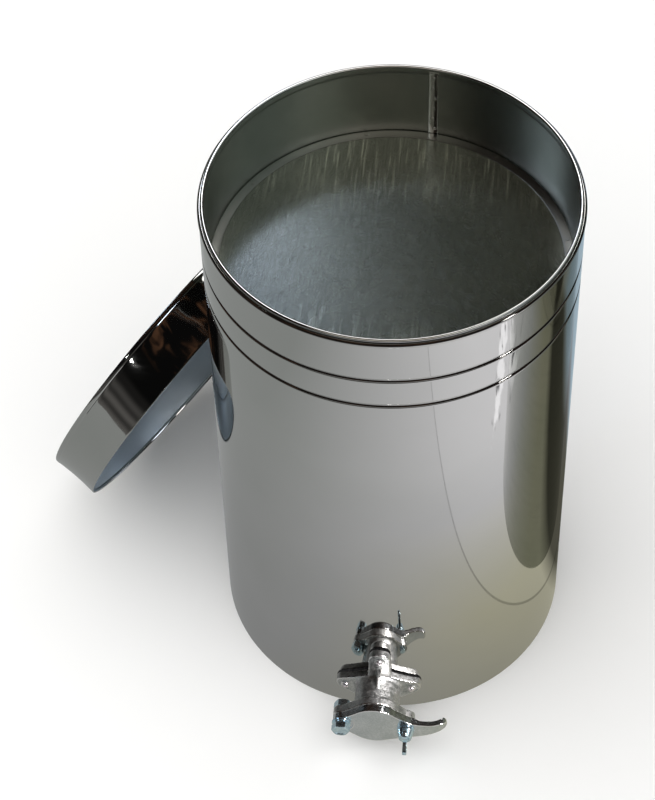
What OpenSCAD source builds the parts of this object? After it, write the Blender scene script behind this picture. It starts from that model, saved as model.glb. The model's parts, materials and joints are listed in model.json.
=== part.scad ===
// Honey settling tank: a polished steel drum with a hanging strainer in its
// mouth, a cast honey gate low on its front, and a loose lid leaning on it.
// Millimetres. Z is up, the origin is on the drum's axis at the floor, and the
// gate points along -Y.

/* [Tank] */
// Outside diameter of the drum
tank_d = 370; // [340:2:400]
// Height from the floor to the top of the rolled rim
tank_h = 600; // [520:5:680]
// Thickness of the drum's sheet
wall_t = 1.0; // [0.8:0.1:1.2]
// Thickness of the bottom plate
bottom_t = 1.2; // [1:0.1:2]
// Height of the bottom plate's upturned edge
bottom_edge_h = 12; // [8:1:20]
// Depth of the two rolled grooves
groove_depth = 2.2; // [1.5:0.1:2.6]
// Drop from the rim to the upper groove
groove_upper_drop = 51.5; // [40:0.5:60]
// Distance between the two grooves
groove_spacing = 36.2; // [25:0.1:45]

/* [Rolled rims] */
// Outside diameter of the drum's rolled rim
tank_roll_d = 4.6; // [4:0.1:5]
// Outside diameter of the strainer's rolled rim
strainer_roll_d = 4.0; // [3.6:0.1:4.4]
// Thickness of the sheet around each wire
roll_sheet_t = 0.8; // [0.6:0.1:0.9]

/* [Strainer] */
// Inside diameter of the strainer's hoop
hoop_bore_d = 358.4; // [356:0.2:358.6]
// Sheet thickness of the hoop
hoop_t = 0.8; // [0.6:0.1:0.9]
// Depth from the top of the strainer to its mesh
strainer_depth = 88.5; // [70:0.5:110]
// Width of the two rings that hold the mesh
mesh_ring_w = 10; // [6:1:16]
// Thickness of the mesh
mesh_t = 0.6; // [0.4:0.1:1]
// Direction of the hoop's lap seam, degrees from +X
seam_az = 81; // [0:1:359]

/* [Lid] */
// Outside diameter of the lid
lid_d = 375.2; // [375.2:0.4:384]
// Depth of the lid's skirt
lid_depth = 55; // [35:1:70]
// Sheet thickness of the lid
lid_t = 0.7; // [0.5:0.1:0.8]
// Height of the hem folded inside the skirt's open edge
hem_h = 4; // [3:0.5:8]
// Direction in which the lid leans, degrees from +X
lid_az = 150.4; // [120:0.2:240]
// How far the lid stands sideways from the line through the drum's axis
lid_shift = 8; // [0:1:20]
// Lean of the lid from upright
lid_lean = 23.75; // [10:0.25:40]

/* [Honey gate] */
// Height of the gate's bore above the floor
gate_z = 48; // [46:1:90]
// Diameter of the gate's bore
gate_bore_d = 40; // [32:1:42]
// Outside diameter of the gate's pipe
gate_pipe_d = 48; // [46:1:50]
// Distance from the drum's axis to the gate's seat face
seat_s = 233; // [228:1:245]
// Thickness of the seat plate
seat_t = 9; // [7:0.5:10]
// Thickness of the blade
blade_t = 9; // [8:0.5:10]
// Radius of the blade's disc
blade_r = 29; // [27:0.1:30]
// Thickness of the blade at its pivot ear
ear_t = 7; // [6:0.5:7.5]
// Distance from the bore's axis to the pivot
pivot_x = 35.4; // [34:0.2:38]
// Distance from the bore's axis to the locking stud
stud_x = 33.2; // [32.5:0.1:35]

/* [Fasteners] */
// Thread diameter of the pivot bolt
pivot_d = 10; // [8:1:10]
// Width across flats of the pivot bolt's head and nut
pivot_af = 17; // [16:0.5:18]
// Thread diameter of the locking stud
stud_d = 8; // [6:1:8]
// Span of the wing nut's wings
wing_span = 41; // [38:1:50]
// Height of the wing nut
wing_h = 20.5; // [18:0.5:26]
// Thread diameter of the flange screws
screw_d = 4; // [3.5:0.5:4]

/* [Hidden] */
$fn = 96;

steel = [0.70, 0.70, 0.68];
dark_steel = [0.42, 0.43, 0.40];
casting = [0.60, 0.61, 0.61];
zinc = [0.66, 0.74, 0.82];
rubber = [0.06, 0.06, 0.06];

eps = 0.01;
part_gap = 0.15;   // running gap between faces that slide on each other
rest_gap = 0.3;    // gap between pieces that only rest on each other

// Drum
tank_r = tank_d / 2;
tank_roll_r = tank_roll_d / 2;
tank_roll_c = tank_r + 1 - tank_roll_r;
tank_roll_z = tank_h - tank_roll_r;

// Strainer: its roll hangs on the drum's roll, a little nearer the axis
hoop_r = hoop_bore_d / 2;
strainer_roll_r = strainer_roll_d / 2;
strainer_roll_c = hoop_r + strainer_roll_r;
rolls_reach = tank_roll_r + strainer_roll_r + rest_gap;
rolls_offset = tank_roll_c - strainer_roll_c;
strainer_roll_z = tank_roll_z + sqrt(rolls_reach * rolls_reach - rolls_offset * rolls_offset);
mesh_top_z = strainer_roll_z + strainer_roll_r - strainer_depth;
mesh_gap = 0.05;
seam_w = 10;
seam_arc = seam_w / hoop_r * 180 / PI;

// Grooves, counted from the floor
groove_upper_z = tank_h - groove_upper_drop;
groove_lower_z = groove_upper_z - groove_spacing;

// Lid, leaning with its open edge on the floor and against the drum
lid_r = lid_d / 2;
lid_foot_gap = 0.2;
lid_centre_z = lid_r * cos(lid_lean) + lid_foot_gap;
lid_centre_s = tank_r + 1 + rest_gap + lid_r * sin(lid_lean);

// Gate, in its own frame: x to the right, y up, z outwards from the drum's axis
bore_r = gate_bore_d / 2;
pipe_r = gate_pipe_d / 2;
gasket_t = 1.4;
flange_t = 8.1;
flange_back_r = tank_r + gasket_t;
flange_front_r = flange_back_r + flange_t;
flange_core_r = 26;
side_ear_r = 10;
top_ear_r = 11.4;
flange_pad_r = 5.2;
// Screw holes: one at the top of the long arm, one at each side
flange_hole_at = [[1.5, 51], [-35.3, 0], [35.3, 0]];
screw_r = screw_d / 2;
screw_clear = 0.2;
pivot_r = pivot_d / 2;
pivot_clear = 0.05;
stud_r = stud_d / 2;
slot_clear = 0.4;
blade_s = seat_s + part_gap;
ear_front_s = blade_s + ear_t;
blade_front_s = blade_s + blade_t;
lug_r = 9.6;
ear_r = 9.4;
stud_lug_r = 8.8;
stud_y = -1;

// Distance of the flange's front, or of the drum's inner wall, at a place x across
function on_round(r, x) = sqrt(r * r - x * x);
function hole_x(i) = flange_hole_at[i][0];
function hole_y(i) = flange_hole_at[i][1];
function pad_s(i) = on_round(flange_front_r, abs(hole_x(i))) + 1.2;
// Where the washer lies flat on the drum's inner wall
washer_r = 4.5;
washer_t = 0.9;
nut_t = 3.2;
function washer_s(i) = on_round(tank_r - wall_t, abs(hole_x(i)) + washer_r) - 0.1;

module in_gate() {
  translate([0, 0, gate_z]) rotate([90, 0, 0]) children();
}

module ring(outer, inner, h) {
  difference() {
    cylinder(r = outer, h = h);
    translate([0, 0, -1]) cylinder(r = inner, h = h + 2);
  }
}

module hex(af, h) {
  cylinder(r = af / 2 / cos(30), h = h, $fn = 6);
}

// ---- Drum ----

// Half section of the drum's wall with its two grooves and its rolled rim
module wall_section() {
  difference() {
    union() {
      translate([tank_r - wall_t, 0]) square([wall_t, tank_roll_z]);
      for (z = [groove_upper_z, groove_lower_z]) {
        intersection() {
          translate([tank_r, z]) circle(r = groove_depth + wall_t);
          translate([tank_r - 10, z - 10]) square([10 - wall_t / 2, 20]);
        }
      }
      translate([tank_roll_c, tank_roll_z]) circle(r = tank_roll_r);
    }
    for (z = [groove_upper_z, groove_lower_z]) {
      translate([tank_r, z]) circle(r = groove_depth);
    }
    translate([tank_roll_c, tank_roll_z]) circle(r = tank_roll_r - roll_sheet_t);
  }
}

module tank_shell() {
  color(steel) difference() {
    rotate_extrude() wall_section();
    in_gate() {
      translate([0, 0, tank_r - 20]) cylinder(r = bore_r, h = 30);
      for (i = [0 : 2]) {
        translate([hole_x(i), hole_y(i), tank_r - 20]) cylinder(r = screw_r + screw_clear, h = 30);
      }
    }
  }
}

module rim_wire(centre_r, z, wire_r) {
  rotate_extrude() translate([centre_r, z]) circle(r = wire_r);
}

module tank_rim_wire() {
  color(dark_steel) rim_wire(tank_roll_c, tank_roll_z, tank_roll_r - roll_sheet_t - 0.02);
}

module tank_bottom() {
  plate_r = tank_r - wall_t - 0.02;
  color(steel) union() {
    cylinder(r = plate_r, h = bottom_t);
    ring(plate_r, plate_r - bottom_t, bottom_edge_h);
  }
}

// ---- Strainer ----

module strainer_hoop() {
  low_z = mesh_top_z - mesh_t - 2 * mesh_gap - 2 * hoop_t;
  color(dark_steel) union() {
    rotate_extrude() difference() {
      union() {
        translate([hoop_r, low_z]) square([hoop_t, strainer_roll_z - low_z]);
        translate([strainer_roll_c, strainer_roll_z]) circle(r = strainer_roll_r);
      }
      translate([strainer_roll_c, strainer_roll_z]) circle(r = strainer_roll_r - roll_sheet_t);
    }
    // The sheet's end laps over its start, on the inside
    rotate([0, 0, seam_az - seam_arc / 2]) rotate_extrude(angle = seam_arc)
      translate([hoop_r - hoop_t, mesh_top_z + hoop_t])
      square([hoop_t + eps, strainer_roll_z - mesh_top_z - hoop_t]);
  }
}

module strainer_rim_wire() {
  color(dark_steel)
    rim_wire(strainer_roll_c, strainer_roll_z, strainer_roll_r - roll_sheet_t - 0.02);
}

module mesh_ring(top_z) {
  translate([0, 0, top_z - hoop_t])
    ring(hoop_r - mesh_gap, hoop_r - mesh_ring_w, hoop_t);
}

module strainer_seat_ring() {
  color(dark_steel) mesh_ring(mesh_top_z - mesh_t - 2 * mesh_gap);
}

module strainer_mesh() {
  color(dark_steel) translate([0, 0, mesh_top_z - mesh_t - mesh_gap])
    cylinder(r = hoop_r - 0.2, h = mesh_t);
}

module strainer_clamp_ring() {
  color(dark_steel) mesh_ring(mesh_top_z + hoop_t);
}

// ---- Lid ----

// The lid's own frame: its open edge is at z = 0 and its panel at z = lid_depth
module in_lid() {
  rotate([0, 0, lid_az]) translate([lid_centre_s, -lid_shift, lid_centre_z])
    rotate([0, 90 - lid_lean, 0]) children();
}

module lid_skirt() {
  color(steel) in_lid() rotate_extrude() union() {
    translate([lid_r - lid_t, 0]) square([lid_t, lid_depth]);
    translate([lid_r - 2 * lid_t, 0]) square([lid_t + eps, hem_h]);
  }
}

module lid_panel() {
  color(steel) in_lid() translate([0, 0, lid_depth - lid_t])
    cylinder(r = lid_r - lid_t - 0.02, h = lid_t);
}

// ---- Honey gate ----

// The flange's outline as a block: a round core, a long arm upwards and an ear at each side
module flange_block(h) {
  core_x = flange_core_r * 0.44;
  core_y = flange_core_r * 0.9;
  arm_x = hole_x(0);
  arm_y = hole_y(0);
  arm_foot_r = top_ear_r + 0.8;
  cylinder(r = flange_core_r, h = h);
  translate([arm_x, arm_y, 0]) cylinder(r = top_ear_r, h = h);
  linear_extrude(h) polygon([[arm_x - arm_foot_r, 0], [arm_x - top_ear_r, arm_y],
    [arm_x + top_ear_r, arm_y], [arm_x + arm_foot_r, 0]]);
  for (i = [1, 2]) {
    side = sign(hole_x(i));
    ear_x = hole_x(i) + side * side_ear_r * 0.4;
    ear_y = side_ear_r * 0.917;
    translate([hole_x(i), hole_y(i), 0]) cylinder(r = side_ear_r, h = h);
    linear_extrude(h) polygon([[ear_x, ear_y], [side * core_x, core_y],
      [side * core_x, -core_y], [ear_x, -ear_y]]);
  }
}

// A slice of that block between two radii from the drum's axis
module saddle(inner, outer) {
  intersection() {
    in_gate() translate([0, 0, tank_r - 30]) flange_block(60);
    translate([0, 0, 2]) ring(outer, inner, 2 * gate_z + 60);
  }
}

module flange_holes(clearance) {
  in_gate() for (i = [0 : 2]) {
    translate([hole_x(i), hole_y(i), tank_r - 20]) cylinder(r = screw_r + clearance, h = 60);
  }
}

module gate_gasket() {
  color(rubber) difference() {
    saddle(tank_r + 0.02, flange_back_r - 0.02);
    in_gate() translate([0, 0, tank_r - 20]) cylinder(r = bore_r, h = 60);
    flange_holes(screw_clear);
  }
}

// Plate outline: a disc with a pivot ear on the left
module disc_and_ear(disc_r, ear_r) {
  circle(r = disc_r);
  translate([-pivot_x, 0]) circle(r = ear_r);
  polygon([[-pivot_x, ear_r], [-disc_r * 0.62, disc_r * 0.78],
    [-disc_r * 0.62, -disc_r * 0.78], [-pivot_x, -ear_r]]);
}

module seat_outline() {
  disc_and_ear(blade_r + 0.6, lug_r);
  translate([stud_x, stud_y]) circle(r = stud_lug_r);
  polygon([[stud_x, stud_y + stud_lug_r], [blade_r * 0.66, blade_r * 0.76],
    [blade_r * 0.66, -blade_r * 0.76], [stud_x, stud_y - stud_lug_r]]);
}

// Side view of the rib along the top of the pipe, from the flange's ear outwards
module rib_outline() {
  polygon([[pipe_r - 3, flange_front_r - 2], [pipe_r + 15, flange_front_r - 2],
    [pipe_r + 14.5, flange_front_r], [pipe_r + 6, flange_front_r + 6], [pipe_r + 0.5, flange_front_r + 15],
    [pipe_r - 3, flange_front_r + 17]]);
}

module gate_body() {
  rib_t = 4;
  lug_back_s = seat_s - seat_t;
  color(casting) difference() {
    union() {
      saddle(flange_back_r, flange_front_r);
      in_gate() {
        for (i = [0 : 2]) {
          translate([hole_x(i), hole_y(i), pad_s(i) - 4]) cylinder(r = flange_pad_r, h = 4);
        }
        translate([0, 0, flange_front_r - 4])
          cylinder(r = pipe_r, h = lug_back_s - flange_front_r + 5);
        // Sloping collars where the pipe meets the flange and the seat plate
        translate([0, 0, flange_front_r - 2]) cylinder(r1 = pipe_r + 2.4, r2 = pipe_r, h = 4);
        translate([0, 0, lug_back_s - 4]) cylinder(r1 = pipe_r, r2 = pipe_r + 2.5, h = 5);
        translate([0, 0, lug_back_s]) linear_extrude(seat_t) seat_outline();
        rotate([0, 0, 88]) rotate([90, 0, 0]) translate([0, 0, -rib_t / 2])
          linear_extrude(rib_t) rib_outline();
      }
    }
    in_gate() {
      translate([0, 0, tank_r - 20]) cylinder(r = bore_r, h = 120);
      translate([-pivot_x, 0, lug_back_s - 1]) cylinder(r = pivot_r + pivot_clear, h = seat_t + 2);
      translate([stud_x, stud_y, lug_back_s - 1]) cylinder(r = stud_r + 0.02, h = seat_t + 2);
    }
    flange_holes(screw_clear);
  }
}

module flange_screws() {
  head_r = 3.6;
  head_h = 2.4;
  tip_out = 1.2;
  color(zinc) in_gate() for (i = [0 : 2]) {
    tip_s = washer_s(i) - washer_t - nut_t - tip_out;
    translate([hole_x(i), hole_y(i), 0]) difference() {
      union() {
        translate([0, 0, tip_s]) cylinder(r = screw_r, h = pad_s(i) - tip_s + eps);
        translate([0, 0, pad_s(i)]) cylinder(r = head_r, h = head_h * 0.5);
        translate([0, 0, pad_s(i) + head_h * 0.5])
          cylinder(r1 = head_r, r2 = head_r * 0.62, h = head_h * 0.5);
      }
      // Screwdriver slot
      translate([-head_r - 1, -0.5, pad_s(i) + head_h - 1]) cube([2 * head_r + 2, 1, 2]);
    }
  }
}

module flange_washers() {
  color(zinc) in_gate() for (i = [0 : 2]) {
    translate([hole_x(i), hole_y(i), washer_s(i) - washer_t]) ring(washer_r, screw_r + 0.15, washer_t);
  }
}

module flange_nuts() {
  nut_af = 7;
  color(zinc) in_gate() for (i = [0 : 2]) {
    translate([hole_x(i), hole_y(i), washer_s(i) - washer_t - nut_t]) difference() {
      hex(nut_af, nut_t);
      translate([0, 0, -1]) cylinder(r = screw_r + 0.02, h = nut_t + 2);
    }
  }
}

// The blade's tail, seen from in front: straight edges and a round end
tail_end_r = 6.4;
tail_end_x = 70;
arm_top = [[blade_r * 0.42, blade_r * 0.905], [33.3, 11.2], [39, 7.9]];
arm_bottom = [[blade_r * 0.40, -blade_r * 0.915], [40, -17]];
module tail_face() {
  translate([tail_end_x, -0.4]) circle(r = tail_end_r);
  polygon([arm_top[2], [46, 7.2], [tail_end_x, tail_end_r - 0.4], [tail_end_x + 1, -tail_end_r - 0.3],
    [57.5, -11], arm_bottom[1]]);
}

// The tail, seen from above: thinner than the blade, and curled back at its end
tail_half_t = 3;
tail_from = [47, blade_front_s - tail_half_t];
tail_pull = [66, blade_front_s - tail_half_t + 0.6];
tail_to = [73.4, blade_front_s - tail_half_t - 7.5];
tail_steps = 14;
function tail_mid(t) = tail_from * (1 - t) * (1 - t) + tail_pull * 2 * t * (1 - t) + tail_to * t * t;
function tail_dir(t) = (tail_pull - tail_from) * (1 - t) + (tail_to - tail_pull) * t;
function tail_side(t, side) = let (d = tail_dir(t))
  tail_mid(t) + [-d[1], d[0]] / norm(d) * tail_half_t * side;
module tail_plan() {
  polygon(concat(
    [for (i = [0 : tail_steps]) tail_side(i / tail_steps, 1)],
    [for (i = [tail_steps : -1 : 0]) tail_side(i / tail_steps, -1)],
    [[41, blade_s], [38, blade_s], [38, blade_front_s]]
  ));
  translate(tail_to) circle(r = tail_half_t);
}

// The slot follows the arc that the stud draws about the pivot, and opens downwards
module stud_slot() {
  arm = norm([stud_x + pivot_x, stud_y]);
  slot_r = stud_r + slot_clear;
  translate([stud_x, stud_y]) circle(r = slot_r);
  intersection() {
    translate([-pivot_x, 0]) difference() {
      circle(r = arm + slot_r, $fn = 240);
      circle(r = arm - slot_r, $fn = 240);
    }
    translate([0, stud_y - 40]) square([60, 40]);
  }
}

// Middle of the blade, from the disc to where the tail begins
module arm_outline() {
  polygon(concat([[0, 0]], arm_top, [[41, 7.7], [41, -16.7]], [arm_bottom[1], arm_bottom[0]]));
}

module gate_blade() {
  ear_step_r = 13;
  color(casting) in_gate() difference() {
    union() {
      translate([0, 0, blade_s]) linear_extrude(blade_t) disc_and_ear(blade_r, ear_r);
      translate([0, 0, blade_s]) linear_extrude(blade_t) arm_outline();
      intersection() {
        translate([0, 0, blade_s - 20]) linear_extrude(blade_t + 30) tail_face();
        rotate([90, 0, 0]) translate([0, 0, -60]) linear_extrude(120) tail_plan();
      }
    }
    translate([0, 0, blade_s - 1]) linear_extrude(blade_t + 2) stud_slot();
    translate([-pivot_x, 0, blade_s - 1]) cylinder(r = pivot_r + pivot_clear, h = blade_t + 2);
    // The pivot ear is lower than the disc, so that the bolt's head sits on it
    translate([-pivot_x, 0, ear_front_s]) cylinder(r = ear_step_r, h = 10);
  }
}

// Pivot: hex bolt from the front, two washers on the blade's ear, nut behind the lug
flat_washer_t = 2;
spring_washer_t = 2.4;
pivot_head_t = 7;
pivot_nut_t = 8;
flat_washer_s = ear_front_s + part_gap;
spring_washer_s = flat_washer_s + flat_washer_t;
pivot_head_s = spring_washer_s + spring_washer_t;
pivot_nut_s = seat_s - seat_t - pivot_nut_t;

module at_pivot(s) {
  in_gate() translate([-pivot_x, 0, s]) children();
}

// A hexagon with its corners turned down on one end
module chamfered_hex(af, h) {
  intersection() {
    rotate([0, 0, 30]) hex(af, h);
    cylinder(r1 = af / 2 * 0.95 + h * 1.2, r2 = af / 2 * 0.95, h = h);
  }
}

module pivot_bolt() {
  tail_s = pivot_nut_s - 2.5;
  color(zinc) union() {
    at_pivot(pivot_head_s) chamfered_hex(pivot_af, pivot_head_t);
    at_pivot(tail_s) cylinder(r = pivot_r, h = pivot_head_s - tail_s + eps);
  }
}

module pivot_spring_washer() {
  color(zinc) at_pivot(spring_washer_s) difference() {
    ring(9, pivot_r + 0.1, spring_washer_t - 0.02);
    translate([0, -0.6, -1]) cube([12, 1.2, 5]);
  }
}

module pivot_flat_washer() {
  color(zinc) at_pivot(flat_washer_s) ring(10, pivot_r + 0.1, flat_washer_t - 0.02);
}

module pivot_nut() {
  color(zinc) at_pivot(pivot_nut_s) difference() {
    translate([0, 0, pivot_nut_t - 0.05]) mirror([0, 0, 1]) chamfered_hex(pivot_af, pivot_nut_t - 0.05);
    translate([0, 0, -1]) cylinder(r = pivot_r + 0.02, h = pivot_nut_t + 2);
  }
}

// Lock: a stud fixed in the right lug, a washer and a wing nut
lock_washer_t = 1.6;
lock_washer_s = blade_front_s + part_gap;
wing_s = lock_washer_s + lock_washer_t + part_gap;
stud_tip_s = wing_s + 12;

module at_stud(s) {
  in_gate() translate([stud_x, stud_y, s]) children();
}

module lock_stud() {
  back_out = 3;
  back_s = seat_s - seat_t - back_out;
  color(zinc) at_stud(back_s) union() {
    cylinder(r = stud_r, h = stud_tip_s - back_s - 1);
    translate([0, 0, stud_tip_s - back_s - 1]) cylinder(r1 = stud_r, r2 = stud_r - 1, h = 1);
  }
}

module lock_washer() {
  color(zinc) at_stud(lock_washer_s) ring(9.2, stud_r + 0.08, lock_washer_t);
}

// One wing seen from its flat side: it leaves the hub low and ends in a round tip
module wing_outline() {
  tip_r = 5.2;
  tip_x = wing_span / 2 - tip_r;
  tip_z = wing_h - tip_r;
  translate([tip_x, tip_z]) circle(r = tip_r);
  polygon([[stud_r + 1, 1.5], [7.6, 1.5], [tip_x + tip_r * 0.91, tip_z - tip_r * 0.42],
    [tip_x - tip_r * 0.88, tip_z + tip_r * 0.48], [stud_r + 1, 9.6]]);
}

module wing_nut() {
  hub_h = 11;
  hub_r = 9;
  hub_tip_r = 6.6;
  wing_t = 4.4;
  color(zinc) at_stud(wing_s) difference() {
    union() {
      cylinder(r = hub_r, h = 2);
      translate([0, 0, 2 - eps]) cylinder(r1 = hub_r, r2 = hub_tip_r, h = hub_h - 2);
      for (side = [90, 270]) {
        rotate([0, 0, side]) rotate([90, 0, 0]) translate([0, 0, -wing_t / 2])
          linear_extrude(wing_t) wing_outline();
      }
    }
    translate([0, 0, -1]) cylinder(r = stud_r + 0.08, h = wing_h + 2);
  }
}

tank_shell();
tank_rim_wire();
tank_bottom();
strainer_hoop();
strainer_rim_wire();
strainer_seat_ring();
strainer_mesh();
strainer_clamp_ring();
lid_skirt();
lid_panel();
gate_gasket();
gate_body();
flange_screws();
flange_washers();
flange_nuts();
gate_blade();
pivot_bolt();
pivot_spring_washer();
pivot_flat_washer();
pivot_nut();
lock_stud();
lock_washer();
wing_nut();
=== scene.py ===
"""Looks of a polished honey settling tank, its strainer, its cast honey gate and its loose lid."""

import json
import math

import bmesh
import bpy
import numpy as np
from mathutils import Matrix, Vector


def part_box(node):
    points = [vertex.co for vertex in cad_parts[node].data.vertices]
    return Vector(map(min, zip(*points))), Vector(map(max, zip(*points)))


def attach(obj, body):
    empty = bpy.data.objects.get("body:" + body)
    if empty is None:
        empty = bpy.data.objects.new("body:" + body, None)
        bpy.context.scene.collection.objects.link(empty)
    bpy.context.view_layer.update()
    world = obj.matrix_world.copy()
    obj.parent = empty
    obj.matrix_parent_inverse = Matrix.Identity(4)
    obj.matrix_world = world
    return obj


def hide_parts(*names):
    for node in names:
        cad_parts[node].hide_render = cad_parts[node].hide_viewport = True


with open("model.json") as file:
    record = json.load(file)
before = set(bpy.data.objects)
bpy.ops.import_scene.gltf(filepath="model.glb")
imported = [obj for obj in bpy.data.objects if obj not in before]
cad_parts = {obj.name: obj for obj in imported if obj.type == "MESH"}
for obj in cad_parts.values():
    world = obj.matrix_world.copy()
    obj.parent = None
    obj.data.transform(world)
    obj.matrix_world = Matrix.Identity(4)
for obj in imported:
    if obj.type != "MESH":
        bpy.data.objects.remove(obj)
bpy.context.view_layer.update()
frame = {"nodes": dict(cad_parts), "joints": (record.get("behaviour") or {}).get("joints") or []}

MM = 0.001
TURN = 2 * math.pi
scene = bpy.context.scene


# ---------------------------------------------------------------- camera

LENS_MM = 113.7
CAMERA_DISTANCE = 2.637
CAMERA_ELEVATION = math.radians(50.394)
CAMERA_AZIMUTH = math.radians(4.7)
CAMERA_AIM_HEIGHT = 0.3018
AIM_RIGHT = math.radians(-1.468)
AIM_UP = math.radians(-0.043)
CAMERA_ROLL = math.radians(-1.932)


def make_camera():
    """A long lens from the front and above, aimed a little beside the drum's middle."""
    turn = Matrix.Rotation(CAMERA_AZIMUTH, 3, "Z")
    back = turn @ Vector((0, -math.cos(CAMERA_ELEVATION), math.sin(CAMERA_ELEVATION)))
    right = turn @ Vector((1, 0, 0))
    up = back.cross(right)
    forward = (-back + right * math.tan(AIM_RIGHT) + up * math.tan(AIM_UP)).normalized()
    level = forward.cross(Vector((0, 0, 1))).normalized()
    lift = level.cross(forward)
    x_axis = level * math.cos(CAMERA_ROLL) + lift * math.sin(CAMERA_ROLL)
    y_axis = lift * math.cos(CAMERA_ROLL) - level * math.sin(CAMERA_ROLL)
    data = bpy.data.cameras.new("camera")
    data.lens = LENS_MM
    data.sensor_width = 36
    data.clip_end = 50
    camera = bpy.data.objects.new("camera", data)
    scene.collection.objects.link(camera)
    matrix = Matrix((x_axis, y_axis, -forward)).transposed().to_4x4()
    matrix.translation = Vector((0, 0, CAMERA_AIM_HEIGHT)) + back * CAMERA_DISTANCE
    camera.matrix_world = matrix
    scene.camera = camera


make_camera()


# ---------------------------------------------------------------- materials


class Nodes:
    """Short ways to build a node tree, of a material or of the world."""

    def __init__(self, name, owner=None):
        self.material = owner or bpy.data.materials.new(name)
        self.material.use_nodes = True
        self.tree = self.material.node_tree
        self.shader = self.tree.nodes["Background" if owner else "Principled BSDF"]

    def add(self, kind, links=(), **settings):
        made = self.tree.nodes.new(kind)
        for key, value in settings.items():
            setattr(made, key, value)
        for socket, value in dict(links).items():
            self.put(made, socket, value)
        return made

    def put(self, node, socket, value):
        if isinstance(value, bpy.types.NodeSocket):
            self.tree.links.new(value, node.inputs[socket])
        else:
            node.inputs[socket].default_value = value

    def set(self, **values):
        for name, value in values.items():
            self.put(self.shader, name.replace("_", " "), value)

    def where(self, kind="Object"):
        return self.add("ShaderNodeTexCoord").outputs[kind]

    def noise(self, scale, detail=2.0, stretch=(1, 1, 1), roughness=0.5, kind="Object", twist=0.0):
        place = self.add("ShaderNodeMapping", {"Vector": self.where(kind), "Scale": stretch}).outputs[0]
        links = {"Vector": place, "Scale": scale, "Detail": detail, "Roughness": roughness}
        links["Distortion"] = twist
        return self.add("ShaderNodeTexNoise", links).outputs["Fac"]

    def spread(self, value, low, high, start=0.3, end=0.7, curve="LINEAR"):
        """Maps value from start..end to low..high."""
        links = {"Value": value, "From Min": start, "From Max": end, "To Min": low, "To Max": high}
        return self.add("ShaderNodeMapRange", links, interpolation_type=curve).outputs[0]

    def math(self, operation, a, b=0.0, c=1.0):
        return self.add("ShaderNodeMath", {0: a, 1: b, 2: c}, operation=operation).outputs[0]

    def mix(self, factor, a, b, blend="MIX"):
        made = self.add("ShaderNodeMix", data_type="RGBA", blend_type=blend)
        self.put(made, 0, factor)
        self.put(made, 6, a)
        self.put(made, 7, b)
        return made.outputs[2]

    def glow(self, tone, strength):
        """Plain light of a card, with no shading of its own."""
        self.set(Base_Color=colour(0, 0, 0), Roughness=1.0)
        self.set(Emission_Color=tone, Emission_Strength=strength)

    def bump(self, height, distance, strength=1.0, under=None):
        links = {"Height": height, "Distance": distance, "Strength": strength}
        if under is not None:
            links["Normal"] = under
        return self.add("ShaderNodeBump", links).outputs[0]


def colour(r, g, b):
    return (r, g, b, 1.0)


def polished_steel(name, tint_a, tint_b, rough_low=0.015, rough_high=0.06, wave=0.00001):
    """Bright rolled sheet: a near mirror with faint waves, wiping marks and a few dull patches."""
    n = Nodes(name)
    marks = n.noise(90, 4, (0.25, 0.25, 1.6))
    patches = n.noise(7, 3)
    waves = n.bump(n.noise(9, 1), wave)
    n.set(
        Metallic=1.0,
        Base_Color=n.mix(n.spread(patches, 0, 1), tint_a, tint_b),
        Roughness=n.spread(marks, rough_low, rough_high),
        Normal=n.bump(n.noise(700, 2, (1, 1, 0.15)), 0.0000012, under=waves),
    )
    return n.material


def satin_steel(name, dark, light, rough_low=0.24, rough_high=0.42):
    """Dull sheet with fine rolling lines, handling marks and a little honey haze."""
    n = Nodes(name)
    lines = n.noise(260, 4, (1, 1, 0.06))
    n.set(
        Metallic=1.0,
        Base_Color=n.mix(n.spread(n.noise(14, 4), 0, 1), dark, light),
        Roughness=n.spread(n.noise(60, 4), rough_low, rough_high),
        Normal=n.bump(lines, 0.000004, 0.3),
    )
    return n.material


def woven_steel(name, dark, light, painted_highlight_tone):
    """Rolled-flat wire cloth: uneven from wire to wire, with painted highlight streaks along Y near its
    edges.
    """
    n = Nodes(name)
    grain = n.spread(n.noise(620, 2, (1, 0.08, 0)), 0, 0.7)
    haze = n.spread(n.noise(9, 2), 0, 0.35)
    tone = n.mix(n.math("ADD", grain, haze), dark, light)
    y = n.add("ShaderNodeSeparateXYZ", {"Vector": n.where()}).outputs["Y"]
    far = n.math("ABSOLUTE", y)
    # Painted highlight: bright streaks along Y near the cloth's front and back edges, standing in for
    # glints off the wires.
    front = n.spread(y, 0.1, 0, -0.14, -0.05)
    thin = n.spread(n.math("ADD", n.noise(330, 3, (1, 0.05, 0)), front), 0, 1, 0.52, 0.72)
    painted_highlight_mask = n.math("MULTIPLY", thin, n.spread(far, 0.1, 1, 0.06, 0.13))
    n.set(
        Metallic=1.0,
        Base_Color=n.mix(painted_highlight_mask, tone, painted_highlight_tone),
        Roughness=0.27,
    )
    return n.material


def wire_steel(name, dark, light):
    """Drawn wire, a little different from wire to wire."""
    n = Nodes(name)
    n.set(
        Metallic=1.0,
        Base_Color=n.mix(n.spread(n.noise(35, 5, (1, 0.2, 1)), 0, 1), dark, light),
        Roughness=n.spread(n.noise(160, 3), 0.30, 0.46),
    )
    return n.material


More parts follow.
